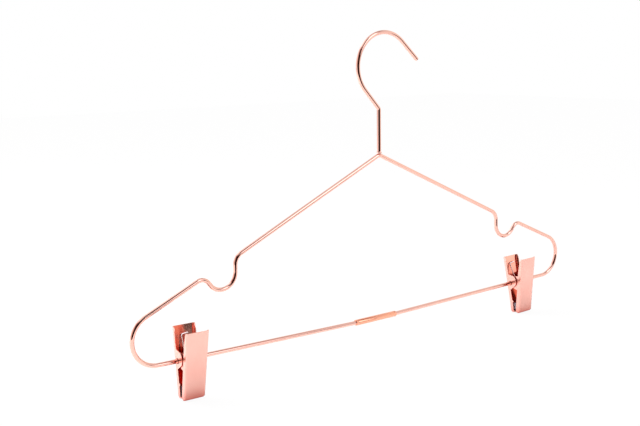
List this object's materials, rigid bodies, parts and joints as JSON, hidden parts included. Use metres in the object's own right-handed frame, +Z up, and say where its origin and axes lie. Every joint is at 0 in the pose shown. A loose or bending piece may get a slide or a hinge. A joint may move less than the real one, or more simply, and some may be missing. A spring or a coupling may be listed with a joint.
{
  "type": "wire clothes hanger with clips",
  "caption": "Bent wire shirt and trouser hanger with an open hook, strap notches at the shoulders and sprung sheet-metal clips that slide and turn on the lower bar.",
  "frame": {"origin": "the point inside the top of the hook that rests on a rail", "axes": "+X along the bar to the right of someone facing the front of the clips, +Y away from them, through the frame from front to back, +Z up"},
  "size_m": [0.4232, 0.0245, 0.2475],
  "materials": {
    "plating": "mirror-polished rose-gold plating on steel wire",
    "clip_plating": "smooth rose-gold plating on folded steel sheet",
    "sleeve": "copper-coloured plated tube",
    "spring": "bright drawn spring wire",
    "pad": "soft translucent grey plastic"
  },
  "bodies": {
    "hanger": {"frame_wire": "plating", "hook_wire": "plating", "peak_weld": "plating", "bar_sleeve": "sleeve"},
    "left_slider": {"left_spring": "spring"},
    "left_rear_jaw": {"left_rear_plate": "clip_plating", "left_rear_pad": "pad"},
    "left_front_jaw": {"left_front_plate": "clip_plating", "left_front_pad": "pad"},
    "right_slider": {"right_spring": "spring"},
    "right_rear_jaw": {"right_rear_plate": "clip_plating", "right_rear_pad": "pad"},
    "right_front_jaw": {"right_front_plate": "clip_plating", "right_front_pad": "pad"}
  },
  "joints": [
    {"name": "left_slide", "type": "slide", "parent": "hanger", "child": "left_slider", "axis": [0.9998, 0, -0.02], "range_m": [-0.012, 0.135]},
    {"name": "left_swing", "type": "hinge", "parent": "left_slider", "child": "left_rear_jaw", "pos_m": [-0.1758, 0, -0.21771], "axis": [0.9998, 0, -0.02], "continuous": true, "deforming": ["left_spring"]},
    {"name": "left_open", "type": "hinge", "parent": "left_rear_jaw", "child": "left_front_jaw", "pos_m": [-0.1758, 0, -0.21771], "axis": [-0.9998, 0, 0.02], "range_deg": [0, 24], "stiffness_Nm_per_rad": 0.15, "springref_deg": -28.65, "deforming": ["left_spring"]},
    {"name": "right_slide", "type": "slide", "parent": "hanger", "child": "right_slider", "axis": [-0.9998, 0, -0.019], "range_m": [-0.024, 0.132]},
    {"name": "right_swing", "type": "hinge", "parent": "right_slider", "child": "right_rear_jaw", "pos_m": [0.1525, 0, -0.2179], "axis": [0.9998, 0, 0.019], "continuous": true, "deforming": ["right_spring"]},
    {"name": "right_open", "type": "hinge", "parent": "right_rear_jaw", "child": "right_front_jaw", "pos_m": [0.1525, 0, -0.2179], "axis": [-0.9998, 0, -0.019], "range_deg": [0, 24], "stiffness_Nm_per_rad": 0.15, "springref_deg": -28.65, "deforming": ["right_spring"]}
  ]
}
